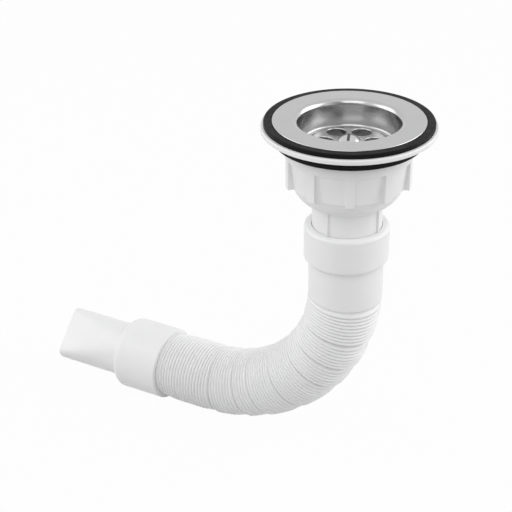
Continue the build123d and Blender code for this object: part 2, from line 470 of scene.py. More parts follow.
def level_ring(r: float, z: float) -> Matrix:
    """Place a unit circle level on the drain axis.

    Args:
        r: Its radius in millimetres.
        z: Its height in millimetres.

    Returns:
        The matrix.
    """
    return Matrix.Translation((0, 0, z * MM)) @ Matrix.Diagonal((r * MM, r * MM, MM, 1.0))


def arc(centre: Point, radius: float, start: float, end: float, steps: int) -> list[Point]:
    """Points on an arc in the radius and height plane.

    Args:
        centre: The arc's centre.
        radius: Its radius.
        start: First angle in degrees, from the radius direction towards up.
        end: Last angle in degrees.
        steps: Segments.

    Returns:
        The points after the first one.
    """
    turns = [radians(start + (end - start) * step / steps) for step in range(1, steps + 1)]
    return [(centre[0] + radius * cos(turn), centre[1] + radius * sin(turn)) for turn in turns]


def angle_off(point: Vector, direction: float) -> float:
    """How many degrees a point lies off a direction round the drain axis."""
    return abs((degrees(atan2(point.y, point.x)) - direction + 180.0) % 360.0 - 180.0)


def raise_faces(bm: BMesh, faces: list[BMFace]) -> list[BMVert]:
    """Extrude a patch of faces off a solid.

    Args:
        bm: The mesh.
        faces: The patch, which is taken away.

    Returns:
        The corners of the raised patch, still where the patch was.
    """
    made = bmesh.ops.extrude_face_region(bm, geom=faces)["geom"]
    bmesh.ops.delete(bm, geom=faces, context="FACES")
    return [part for part in made if isinstance(part, BMVert)]


def patch_of(bm: BMesh, radii: Range, heights: Range, direction: float, half_turn: float) -> list[BMFace]:
    """Faces whose middles lie within limits round the drain axis.

    Args:
        bm: The mesh.
        radii: Least and greatest distance from the axis in millimetres.
        heights: Lowest and highest place in millimetres.
        direction: Middle of the patch in degrees.
        half_turn: Degrees to either side of it.

    Returns:
        The faces.
    """
    found = []
    for face in bm.faces:
        middle = face.calc_center_median()
        level = heights[0] < middle.z / MM < heights[1]
        reached = radii[0] < middle.xy.length / MM < radii[1]
        if level and reached and angle_off(middle, direction) < half_turn:
            found.append(face)
    return found


def placed(name: str, bm: BMesh) -> bpy.types.Object:
    """Put a mesh into the scene as an object.

    Args:
        name: The object's name.
        bm: Its mesh, which is used up.

    Returns:
        The object.
    """
    mesh = bpy.data.meshes.new(name)
    bm.to_mesh(mesh)
    bm.free()
    made = bpy.data.objects.new(name, mesh)
    bpy.context.scene.collection.objects.link(made)
    return made


def finished(
    name: str, bm: BMesh, finish: Finish, node: str, crease: float = 34.0,
) -> bpy.types.Object:
    """Make a mesh into a piece of the object.

    Args:
        name: The piece's name.
        bm: Its mesh, which is used up.
        finish: Its finish.
        node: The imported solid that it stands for.
        crease: Edges that turn more than this many degrees stay crisp.

    Returns:
        The piece.
    """
    piece = placed(name, bm)
    piece.data.shade_smooth()
    piece.data.set_sharp_from_angle(angle=radians(crease))
    piece.data.materials.append(finish.material())
    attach(piece, BODY)
    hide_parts(node)
    LOG.info("%s: %d faces for %s", name, len(piece.data.polygons), node)
    return piece


def soften(piece: bpy.types.Object, width: float, angle: float = 40.0, segments: int = 3) -> None:
    """Round the crisp edges of a piece.

    Args:
        piece: The piece.
        width: Width of the rounding in millimetres.
        angle: Edges that turn less than this many degrees are left.
        segments: Segments of the rounding.
    """
    bevel = piece.modifiers.new("soft_edges", "BEVEL")
    bevel.width = width * MM
    bevel.segments = segments
    bevel.limit_method = "ANGLE"
    bevel.angle_limit = radians(angle)
    bevel.use_clamp_overlap = True
    even(piece)


def even(piece: bpy.types.Object) -> None:
    """Keep flat faces flat under smooth shading."""
    shade = piece.modifiers.new("even_shading", "WEIGHTED_NORMAL")
    shade.keep_sharp = True


@dataclass
class StrainerTop:
    """The pressed steel dish, its screw and the rubber ring under its flange."""

    # Pressed sheet
    sheet: float = 0.8
    flange_r: float = 39.15
    edge_r: float = 0.5
    edge_steps: int = 4
    wall_r: float = 26.0
    depth: float = 14.5
    lip_r: float = 2.9
    lip_steps: int = 10
    plug_run: float = 4.2
    foot_r: float = 25.7
    corner_r: float = 1.3
    corner_steps: int = 14
    # Raised floor and its petal holes
    seat_r: float = 6.1
    seat_rise: float = 2.85
    plate_r: float = 18.2
    plate_drop: float = 0.35
    fall_power: float = 1.6
    floor_columns: int = 96
    floor_cuts: int = 3
    petal_count: int = 6
    petal_columns: int = 24
    petal_r: float = 4.9
    petal_roll: float = 0.6
    roll_steps: int = 6
    petal_pitch: float = 13.0
    petal_phase: float = 25.0
    rim_reach: float = 0.4
    # Screw
    head_r: float = 5.8
    head_h: float = 2.9
    head_edge: float = 0.6
    head_gap: float = 0.02
    dome_steps: int = 14
    shank_r: float = 2.5
    slot_width: float = 1.5
    slot_depth: float = 1.3
    slot_turn: float = 110.0
    screw_columns: int = 96
    # Rubber ring under the flange
    ring_r: float = 43.45
    ring_bore: float = 30.4
    ring_t: float = 1.85
    ring_rim: float = 0.45
    ring_gap: float = 0.3
    ring_soft: float = 0.2
    ring_foot_soft: float = 0.35
    ring_rim_soft: float = 0.6
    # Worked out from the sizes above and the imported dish
    floor_r: float = field(init=False)
    face_z: float = field(init=False)
    floor_z: float = field(init=False)
    seat_z: float = field(init=False)

    def __post_init__(self) -> None:
        """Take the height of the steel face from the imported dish."""
        self.floor_r = self.foot_r - self.corner_r
        self.face_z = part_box("strainer_dish")[1].z / MM
        self.floor_z = self.face_z - self.depth
        self.seat_z = self.floor_z + self.seat_rise

    def build(self) -> None:
        """Build and dress the three pieces."""
        self.build_dish()
        self.build_screw()
        self.build_ring()

    def floor_height(self, r: float) -> float:
        """Height of the floor: a nearly level plate round the screw, then a fall to the wall.

        Args:
            r: Distance from the axis in millimetres.

        Returns:
            Height in millimetres.
        """
        plate = max(r - self.seat_r, 0.0) / (self.floor_r - self.seat_r)
        rim = max(r - self.plate_r, 0.0) / (self.floor_r - self.plate_r)
        fall = (self.seat_rise - self.plate_drop) * rim ** self.fall_power
        return self.seat_z - self.plate_drop * plate - fall

    def build_dish(self) -> None:
        """Fill the floor round its petals and raise it, then grow the petal rims and the wall."""
        bm = bmesh.new()
        rim_r = self.petal_r + self.petal_roll
        places = [level_ring(self.floor_r, self.floor_z)]
        for petal in range(self.petal_count):
            turn = radians(self.petal_phase + 360.0 * petal / self.petal_count)
            spot = (self.petal_pitch * MM * cos(turn), self.petal_pitch * MM * sin(turn), 0.0)
            places.append(Matrix.Translation(spot) @ level_ring(rim_r, self.floor_z))
        columns = [self.floor_columns] + [self.petal_columns] * self.petal_count
        for place, segments in zip(places, columns):
            bmesh.ops.create_circle(bm, cap_ends=False, segments=segments, radius=1.0, matrix=place)
        bmesh.ops.triangle_fill(
            bm, use_beauty=True, use_dissolve=False, edges=bm.edges[:], normal=(0, 0, 1),
        )
        bmesh.ops.subdivide_edges(bm, edges=bm.edges[:], cuts=self.floor_cuts, use_grid_fill=True)
        skins = [Skin(bm, self.rim_of(bm, place), place) for place in places]
        for vert in bm.verts:
            vert.co.z = self.floor_height(vert.co.xy.length / MM) * MM
        for skin in skins[1:]:
            self.roll_petal(skin)
        self.grow_wall(skins[0])
        bmesh.ops.recalc_face_normals(bm, faces=bm.faces)
        if max(bm.faces, key=lambda face: face.calc_area()).normal.z < 0.0:
            bmesh.ops.reverse_faces(bm, faces=bm.faces)
        piece = finished("dish_pressing", bm, DISH_STEEL, "strainer_dish")
        wall = piece.modifiers.new("sheet", "SOLIDIFY")
        wall.thickness = self.sheet * MM
        wall.offset = -1.0
        wall.use_even_offset = True
        even(piece)

    def rim_of(self, bm: BMesh, place: Matrix) -> list[BMEdge]:
        """Put the open edges round one circle exactly on it.

        Args:
            bm: The flat floor.
            place: The matrix that carries a unit circle to that circle.

        Returns:
            The edges.
        """
        centre = place.translation.xy
        r = place.to_scale().x
        edges = []
        for edge in bm.edges:
            off = max(abs((vert.co.xy - centre).length - r) for vert in edge.verts)
            if edge.is_boundary and off < self.rim_reach * MM:
                edges.append(edge)
        for vert in {vert for edge in edges for vert in edge.verts}:
            vert.co.xy = centre + (vert.co.xy - centre).normalized() * r
        return edges

    def roll_petal(self, skin: Skin) -> None:
        """Roll the edge of one petal hole downwards.

        Args:
            skin: The hole's loop on the floor.
        """
        spot = Matrix.Translation((skin.place.translation.x, skin.place.translation.y, 0.0))
        level = (self.petal_r + self.petal_roll, self.floor_z - self.petal_roll)
        for r, z in arc(level, self.petal_roll, 90.0, 180.0, self.roll_steps):
            skin.grow(spot @ level_ring(r, z))

    def grow_wall(self, skin: Skin) -> None:
        """Grow the floor's corner, the straight wall, the rolled lip and the flange.

        Args:
            skin: The outer loop of the floor.
        """
        wall_top = self.face_z - self.lip_r
        edge_in = self.flange_r - self.edge_r
        knee = (self.floor_r, self.floor_z + self.corner_r)
        corner = arc(knee, self.corner_r, -90.0, 0.0, self.corner_steps)
        wall = [(self.wall_r, wall_top - self.plug_run), (self.wall_r, wall_top)]
        lip = arc((self.wall_r + self.lip_r, wall_top), self.lip_r, 180.0, 90.0, self.lip_steps)
        edge = arc((edge_in, self.face_z - self.edge_r), self.edge_r, 90.0, 0.0, self.edge_steps)
        for r, z in [*corner, *wall, *lip, (edge_in, self.face_z), *edge]:
            skin.grow(level_ring(r, z))

    def build_screw(self) -> None:
        """Turn the domed head and its shank, then cut the driver slot."""
        crown = self.head_h - self.head_edge
        dome_r = (self.head_r ** 2 + crown ** 2) / (2 * crown)
        top = self.seat_z + self.head_h
        reach = degrees(asin(self.head_r / dome_r))
        dome = arc((0.0, top - dome_r), dome_r, 90.0, 90.0 - reach, self.dome_steps)
        under = self.seat_z + self.head_gap
        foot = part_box("centre_screw")[0].z / MM
        profile = [Corner(0.0, top), *(Corner(r, z) for r, z in dome)]
        profile += [Corner(self.head_r, under), Corner(self.shank_r, under)]
        profile += [Corner(self.shank_r, foot), Corner(0.0, foot)]
        bm = turned(profile, self.screw_columns, closed=False)
        self.cut_slot(bm, top - self.slot_depth)
        finished("screw_turning", bm, SCREW_STEEL, "centre_screw", crease=50.0)

    def cut_slot(self, bm: BMesh, floor: float) -> None:
        """Sink the driver slot into the dome, and mark its faces for painted shade.

        Args:
            bm: The screw.
            floor: Height of the slot's floor in millimetres.
        """
        turn = radians(self.slot_turn)
        across = Vector((-sin(turn), cos(turn), 0.0))
        half = self.slot_width * MM / 2
        level = Vector((0.0, 0.0, floor * MM))
        up = Vector((0.0, 0.0, 1.0))
        for spot, normal in ((across * -half, across), (across * half, across), (level, up)):
            everything = bm.verts[:] + bm.edges[:] + bm.faces[:]
            bmesh.ops.bisect_plane(bm, geom=everything, dist=WELD, plane_co=spot, plane_no=normal)
        middles = [(face, face.calc_center_median()) for face in bm.faces]
        patch = [face for face, mid in middles if mid.z > level.z and abs(mid.dot(across)) < half]
        sunk = raise_faces(bm, patch)
        bmesh.ops.scale(bm, verts=sunk, vec=(1, 1, 0), space=Matrix.Translation(-level))
        bmesh.ops.remove_doubles(bm, verts=bm.verts, dist=WELD)
        bmesh.ops.dissolve_degenerate(bm, edges=bm.edges, dist=WELD)
        bmesh.ops.recalc_face_normals(bm, faces=bm.faces)
        # The slot's walls and floor are marked for painted shade, which darkens their steel colour.
        painted_slot_shade = bm.faces.layers.float.new(SLOT_SHADE)
        for face in bm.faces:
            middle = face.calc_center_median()
            inside = abs(middle.dot(across)) < half + WELD and middle.z > level.z - WELD
            face[painted_slot_shade] = 1.0 if inside else 0.0

    def build_ring(self) -> None:
        """Turn the rubber ring with the low rim that locates the steel flange."""
        under = self.face_z - self.sheet
        foot = under - self.ring_t
        rim = under + self.ring_rim
        inner = self.flange_r + self.ring_gap
        bm = turned(
            [
                Corner(self.ring_bore, foot, self.ring_soft),
                Corner(self.ring_r, foot, self.ring_foot_soft),
                Corner(self.ring_r, rim, self.ring_rim_soft),
                Corner(inner, rim, self.ring_soft),
                Corner(inner, under),
                Corner(self.ring_bore, under, self.ring_soft),
            ],
            RING_COLUMNS,
        )
        even(finished("dish_ring", bm, BLACK_RUBBER, "dish_gasket"))


@dataclass
class SinkClamp:
    """The flanged white bush that goes through the sink, and the rubber ring under its flange."""

    # Bush
    flange_r: float = 45.0
    flange_t: float = 2.65
    barrel_r: float = 29.1
    bore_r: float = 27.6
    drop: float = 13.0
    inner_soft: float = 0.3
    flange_soft: float = 0.75
    flange_foot_soft: float = 0.6
    barrel_soft: float = 0.4
    # Boss and arms that hold the screw
    boss_r: float = 6.0
    boss_bore: float = 2.8
    boss_top: float = -1.3
    boss_soft: float = 0.4
    boss_columns: int = 72
    arm_count: int = 3
    arm_h: float = 6.5
    arm_half_turn: float = 15.0
    # Rubber ring on the sink
    ring_r: float = 38.6
    ring_t: float = 5.9
    ring_gap: float = 0.3
    ring_soft: float = 0.2
    ring_top_soft: float = 0.4
    ring_foot_soft: float = 0.9

    def build(self) -> None:
        """Build and dress both pieces."""
        self.build_bush()
        self.build_ring()

    def build_bush(self) -> None:
        """Turn the flange with its barrel, then the boss with its arms."""
        foot = self.ring_t
        top = foot + self.flange_t
        bm = turned(
            [
                Corner(self.bore_r, top, self.inner_soft),
                Corner(self.flange_r, top, self.flange_soft),
                Corner(self.flange_r, foot, self.flange_foot_soft),
                Corner(self.barrel_r, foot, self.inner_soft),
                Corner(self.barrel_r, -self.drop, self.barrel_soft),
                Corner(self.bore_r, -self.drop, self.barrel_soft),
            ],
            RING_COLUMNS,
        )
        mesh = bpy.data.meshes.new("boss")
        boss = self.boss_with_arms()
        boss.to_mesh(mesh)
        boss.free()
        bm.from_mesh(mesh)
        bpy.data.meshes.remove(mesh)
        even(finished("bush_moulding", bm, WHITE_PLASTIC, "flanged_bush"))

    def boss_with_arms(self) -> BMesh:
        """Turn the boss that takes the screw, and draw its arms out to the barrel.

        Returns:
            The boss and arms.
        """
        arm_top = -self.drop + self.arm_h
        bm = turned(
            [
                Corner(self.boss_bore, self.boss_top),
                Corner(self.boss_r, self.boss_top, self.boss_soft),
                Corner(self.boss_r, arm_top),
                Corner(self.boss_r, -self.drop),
                Corner(self.boss_bore, -self.drop),
            ],
            self.boss_columns,
        )
        reach = self.bore_r - self.boss_r + (self.barrel_r - self.bore_r) / 2
        side = (self.boss_r - NEAR, inf)
        for arm in range(self.arm_count):
            direction = 360.0 * arm / self.arm_count
            patch = patch_of(bm, side, (-inf, arm_top), direction, self.arm_half_turn)
            ahead = Matrix.Rotation(radians(direction), 4, "Z") @ Vector((reach * MM, 0.0, 0.0))
            bmesh.ops.translate(bm, verts=raise_faces(bm, patch), vec=ahead)
        bmesh.ops.recalc_face_normals(bm, faces=bm.faces)
        return bm

    def build_ring(self) -> None:
        """Turn the thick ring whose foot lies on the sink."""
        inner = self.barrel_r + self.ring_gap
        bm = turned(
            [
                Corner(inner, 0.0, self.ring_soft),
                Corner(self.ring_r, 0.0, self.ring_foot_soft),
                Corner(self.ring_r, self.ring_t, self.ring_top_soft),
                Corner(inner, self.ring_t, self.ring_soft),
            ],
            RING_COLUMNS,
        )
        even(finished("sink_ring", bm, BLACK_RUBBER, "sink_gasket"))


@dataclass
class DrainCup:
    """The white cup: rim, panelled wall with grips, bowl and ribbed outlet neck in one moulding."""

    # Rim and panelled wall
    top: float = -1.0
    rim_r: float = 33.1
    rim_h: float = 6.1
    panel_r: float = 31.7
    panel_foot_r: float = 30.2
    panel_foot: float = -22.85
    bore_r: float = 29.4
    wall: float = 1.5
    # Bowl and neck
    bowl_in: float = 1.1
    bowl_foot: float = -34.4
    bowl_start: float = 12.0
    bowl_sweep: float = 60.0
    bowl_steps: int = 8
    neck_r: float = 18.5
    neck_wall: float = 1.8
    neck_foot: float = -62.8
    # Ribs on the neck
    rib_foot: float = -47.05
    rib_out: float = 1.0
    rib_slope: float = 1.5
    rib_count: int = 4
    rib_half_turn: float = 2.2
    rib_phase: float = -7.0
    # Grips on the wall
    grip_count: int = 10
    grip_half_turn: float = 4.2
    grip_phase: float = -63.0
    shut_reach: float = 0.01
    join_reach: float = 0.001
    # Mesh
    edge_soft: float = 0.3
    columns: int = 180

    def build(self) -> None:
        """Turn the cup, raise its grips and neck ribs, and soften its edges."""
        ledge = self.top - self.rim_h
        bowl_r = self.panel_foot_r - self.bowl_in
        bowl_bore = bowl_r - self.wall
        neck_bore = self.neck_r - self.neck_wall
        floor = self.panel_foot + self.wall
        outside = self.bowl(bowl_r, self.panel_foot, self.neck_r, self.bowl_foot)
        inside = self.bowl(bowl_bore, floor, neck_bore, self.bowl_foot + self.wall)
        bm = turned(
            [
                Corner(self.bore_r, self.top),
                Corner(self.rim_r, self.top),
                Corner(self.rim_r, ledge),
                Corner(self.panel_r, ledge),
                Corner(self.panel_foot_r, self.panel_foot),
                Corner(bowl_r, self.panel_foot),
                *outside,
                Corner(self.neck_r, self.rib_foot),
                Corner(self.neck_r, self.neck_foot),
                Corner(neck_bore, self.neck_foot),
                *reversed(inside),
                Corner(bowl_bore, floor),
                Corner(self.bore_r, floor),
            ],
            self.columns,
        )
        shift = Matrix.Rotation(radians(self.rib_phase), 4, "Z")
        bmesh.ops.transform(bm, matrix=shift, verts=bm.verts)
        self.raise_grips(bm, ledge)
        self.raise_ribs(bm)
        bmesh.ops.recalc_face_normals(bm, faces=bm.faces)
        piece = finished("cup_moulding", bm, WHITE_PLASTIC, "drain_cup")
        soften(piece, self.edge_soft)

    def bowl(self, r: float, z: float, foot_r: float, foot_z: float) -> list[Corner]:
        """Corners of the bowl, which swells out below the wall and meets the neck at a crisp angle.

        Args:
            r: Radius where it starts.
            z: Height where it starts.
            foot_r: Radius at the neck.
            foot_z: Height at the neck.

        Returns:
            The corners after the first.
        """
        shares = [step / self.bowl_steps for step in range(self.bowl_steps + 1)]
        turns = [radians(self.bowl_start + self.bowl_sweep * share) for share in shares]
        wide = cos(turns[0]) - cos(turns[-1])
        high = sin(turns[-1]) - sin(turns[0])
        return [
            Corner(
                r - (r - foot_r) * (cos(turns[0]) - cos(turn)) / wide,
                z - (z - foot_z) * (sin(turn) - sin(turns[0])) / high,
            )
            for turn in turns[1:]
        ]

    def raise_grips(self, bm: BMesh, ledge: float) -> None:
        """Raise the grips off the panelled wall until they are flush with the rim.

        Args:
            bm: The cup.
            ledge: Height of the rim's underside in millimetres.
        """
        directions = [self.grip_phase + 360.0 * grip / self.grip_count for grip in range(self.grip_count)]
        side = (self.panel_foot_r - NEAR, inf)
        for direction in directions:
            patch = patch_of(bm, side, (self.panel_foot, ledge), direction, self.grip_half_turn)
            for vert in raise_faces(bm, patch):
                vert.co.xy = vert.co.xy.normalized() * self.rim_r * MM
        # What is shut in between a grip and the rim is taken out, and the two are joined.
        level = (ledge - self.shut_reach, ledge + self.shut_reach)
        for direction in directions:
            shut_in = patch_of(bm, (self.panel_r, inf), level, direction, self.grip_half_turn)
            bmesh.ops.delete(bm, geom=shut_in, context="FACES")
        bmesh.ops.remove_doubles(bm, verts=bm.verts, dist=self.join_reach * MM)

    def raise_ribs(self, bm: BMesh) -> None:
        """Raise the narrow ribs down the neck, with their heads run up into the bowl.

        Args:
            bm: The cup.
        """
        out = (self.neck_r + self.rib_out) / self.neck_r
        side = (self.neck_r - NEAR, self.neck_r + NEAR)
        rise = self.rib_slope * self.rib_out * MM
        for rib in range(self.rib_count):
            direction = self.rib_phase + 360.0 * rib / self.rib_count
            patch = patch_of(bm, side, (self.rib_foot, inf), direction, self.rib_half_turn)
            raised = raise_faces(bm, patch)
            bmesh.ops.scale(bm, verts=raised, vec=(out, out, 1.0))
            head = max(vert.co.z for vert in raised)
            heads = [vert for vert in raised if vert.co.z > head - NEAR * MM]
            bmesh.ops.translate(bm, verts=heads, vec=(0.0, 0.0, rise))


@dataclass
class InletCuff:
    """The white clamping ring round the top of the hose."""

    outer_r: float = 22.6
    bore_r: float = 20.3
    height: float = 20.5
    top_round: float = 1.9
    foot_round: float = 2.6
    mouth_r: float = 18.8
    mouth_lip: float = 0.35
    bore_soft: float = 0.2
    lip_soft: float = 0.15
    round_steps: int = 8
    columns: int = 160

    def build(self) -> None:
        """Turn the ring with its rounded mouth and foot."""
        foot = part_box("inlet_cuff")[0].z / MM
        top = foot + self.height
        bm = turned(
            [
                Corner(self.bore_r, foot, self.bore_soft),
                Corner(self.outer_r, foot, self.foot_round),
                Corner(self.outer_r, top, self.top_round),
                Corner(self.mouth_r, top, self.lip_soft),
                Corner(self.mouth_r, top - self.mouth_lip),
                Corner(self.bore_r, top - self.mouth_lip),
            ],
            self.columns,
            round_steps=self.round_steps,
        )
        even(finished("cuff_ring", bm, WHITE_PLASTIC, "inlet_cuff"))


@dataclass
class BellowsHose:
    """The blown hose: socket, smooth sleeve, grouped ridges with folds between them, and a plain stub.

    Distances along the hose run from the foot of the inlet cuff.
    """

    # Route and plain stretches
    outer_r: float = 20.0
    bore_r: float = 15.2
    bore_steps: int = 40
    drop_run: float = 17.4
    bend_r: float = 86.2
    level_run: float = 28.5
    # Socket over the cup's neck; its lip is listed as run and rise
    socket_r: float = 18.62
    socket_rise: float = 20.0
    socket_depth: float = 16.3
    lip: tuple[Point, ...] = ((0.0, 0.1), (0.2, 0.25), (1.5, 0.25), (1.8, 0.0))
    # Smooth sleeve
    sleeve_run: float = 22.8
    sleeve_soft: float = 0.35
    sleeve_gap: float = 0.1
    sleeve_steps: int = 6
    # Plain stub and its collar
    stub_r: float = 17.8
    stub_run: float = 1.8
    stub_plug: float = 18.0
    collar_r: float = 18.9
    collar_gap: float = 0.15
    # Ridges
    bend_groups: tuple[int, ...] = (8, 6, 5, 9, 8, 4, 7, 2)
    end_ridges: int = 14
    end_taper: float = 0.8
    ridge_depth: float = 1.5
    ridge_rings: int = 8
    crest_power: float = 0.75
    # Folds and the bands that rise out of them, in shares of a band's run
    fold_depth: float = 3.4
    first_fold: float = 1.3
    fold_swing: float = 2.6
    fold_share: float = 0.26
    rise_share: float = 0.4
    band_run: float = 3.75
    band_shares: tuple[float, ...] = (0.0, 0.14, 0.26, 0.32, 0.37, 0.42, 0.48, 0.56, 0.66, 0.8)
    band_end: float = 0.93
    band_end_dip: float = 0.35
    group_swell: float = 1.0
    swell_run: float = 9.0
    # Mesh and start
    columns: int = 112
    cuff_foot: float = field(init=False)

    def __post_init__(self) -> None:
        """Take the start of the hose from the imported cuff."""
        self.cuff_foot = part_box("inlet_cuff")[0].z / MM

    @property
    def bend_run(self) -> float:
        """Length of the bend along the middle of the hose."""
        return self.bend_r * pi / 2

    @property
    def level_start(self) -> float:
        """Distance to the end of the bend."""
        return self.drop_run + self.bend_run

    @property
    def end_run(self) -> float:
        """Distance to the end of the hose, at the mouth of the tail."""
        return self.level_start + self.level_run

    def place(self, run: float, r: float, swing: float = 0.0) -> Matrix:
        """Place a unit circle square to the hose.

        Args:
            run: Distance along the hose in millimetres.
            r: Radius in millimetres.
            swing: Degrees that the circle leans further into the bend.

        Returns:
            The matrix.
        """
        along = min(max(run - self.drop_run, 0.0), self.bend_run)
        turn = along / self.bend_r
        down = min(run, self.drop_run)
        level = max(run - self.level_start, 0.0)
        x = -self.bend_r * (1.0 - cos(turn)) - level
        z = self.cuff_foot - down - self.bend_r * sin(turn)
        lean = Matrix.Rotation(turn + pi + radians(swing), 4, "Y")
        return Matrix.Translation((x * MM, 0.0, z * MM)) @ lean @ Matrix.Diagonal((r * MM, r * MM, MM, 1.0))

    @property
    def pitch(self) -> float:
        """Distance between ridges in the bend, which ends half a ridge after its last group."""
        bands = self.band_run * len(self.bend_groups)
        return (self.level_start - self.sleeve_run - bands) / (sum(self.bend_groups) + 0.5)

    def swing_at(self, run: float, start: float, end: float) -> float:
        """How far a ring leans, because the hose bends more at its folds than between them.

        Args:
            run: Distance of the ring.
            start: Distance of the fold before it.
            end: Distance of the fold after it, or of the end of the bend.

        Returns:
            Degrees.
        """
        share = (run - start) / (end - start)
        last = end > self.level_start - self.pitch
        lean = 0.5 * max(1.0 - share, 0.0) if last else 0.5 - share
        return self.fold_swing * lean * min(1.0, run - start, max(end - run, 0.0))

    def band(self, start: float, depth: float) -> list[Point]:
        """Stations of the smooth band that rises out of a fold.

        Args:
            start: Distance of the fold.
            depth: Depth of the fold.

        Returns:
            Distances and radii.
        """
        stations = []
        for share in self.band_shares:
            rise = sin(pi / 2 * min(max(share - self.fold_share, 0.0) / self.rise_share, 1.0))
            stations.append((start + share * self.band_run, self.outer_r - depth * (1.0 - rise)))
        dip = self.band_end_dip * self.ridge_depth
        return stations + [(start + self.band_end * self.band_run, self.outer_r - dip)]

    def ridges(self, start: float, end: float, count: int) -> list[Point]:
        """Stations of a row of ridges with round crests and narrow valleys.

        Args:
            start: Distance of the first valley.
            end: Distance of the last valley.
            count: Number of ridges.

        Returns:
            Distances and radii.
        """
        valley = self.outer_r - self.ridge_depth
        pitch = (end - start) / count
        stations = []
        for step in range(count * self.ridge_rings):
            share = step / self.ridge_rings
            crest = abs(sin(pi * share)) ** self.crest_power
            stations.append((start + share * pitch, valley + self.ridge_depth * crest))
        return stations

    def bellows(self) -> list[Matrix]:
        """Rings of all groups, each with its band and its ridges.

        Returns:
            The places of the rings.
        """
        rings = []
        start = self.sleeve_run
        bellows_end = self.end_run - self.stub_run
        for count in self.bend_groups:
            first = start + self.band_run
            end = first + count * self.pitch
            opening = start == self.sleeve_run
            stations = self.band(start, self.first_fold if opening else self.fold_depth)
            for run, r in stations + self.ridges(first, end, count):
                fade = max(1.0 - (run - start) / self.swell_run, 0.0)
                swell = 0.0 if opening else self.group_swell * fade
                rings.append(self.place(run, r - swell, self.swing_at(run, start, end)))
            start = end
        for run, r in self.ridges(start, bellows_end, self.end_ridges):
            taper = self.end_taper * max(1.0 - (bellows_end - run) / self.swell_run, 0.0)
            rings.append(self.place(run, r - taper))
        return rings

    def plain(self, start: float, end: float, r: float, steps: int) -> list[Matrix]:
        """Even rings along a plain stretch.

        Args:
            start: Distance of the first ring.
            end: Distance of the last ring.
            r: Radius in millimetres.
            steps: Spaces between the rings.

        Returns:
            The places of the rings.
        """
        return [self.place(start + (end - start) * step / steps, r) for step in range(steps + 1)]

    def build(self) -> None:
        """Grow the outside from the socket to the stub, then the bore back to the socket."""
        top = -self.socket_rise
        socket_foot = self.socket_depth - self.socket_rise
        sleeve_end = self.sleeve_run - self.sleeve_soft
        stub_end = self.end_run + self.stub_plug
        collar = (self.end_run - self.stub_run, self.end_run - self.collar_gap)
        rings = [self.place(top + run, self.outer_r + rise) for run, rise in self.lip]
        rings.append(self.place(0.0, self.outer_r))
        rings += self.plain(self.drop_run, sleeve_end, self.outer_r, self.sleeve_steps)
        rings.append(self.place(self.sleeve_run - self.sleeve_gap, self.outer_r - self.sleeve_soft))
        rings += self.bellows()
        rings += [self.place(run, self.collar_r) for run in collar]
        rings += [self.place(run, self.stub_r) for run in (collar[1], stub_end)]
        rings += self.plain(stub_end, socket_foot, self.bore_r, self.bore_steps)
        rings += [self.place(run, self.socket_r) for run in (socket_foot, top)]
        bm = bmesh.new()
        circle = bmesh.ops.create_circle(
            bm, cap_ends=False, segments=self.columns, radius=1.0, matrix=rings[0],
        )
        first = list({edge for vert in circle["verts"] for edge in vert.link_edges})
        skin = Skin(bm, first, rings[0])
        for ring in rings[1:]:
            skin.grow(ring)
        bmesh.ops.bridge_loops(bm, edges=first + skin.loop)
        bmesh.ops.recalc_face_normals(bm, faces=bm.faces)
        finished("hose_moulding", bm, HOSE_PLASTIC, "hose", crease=60.0)


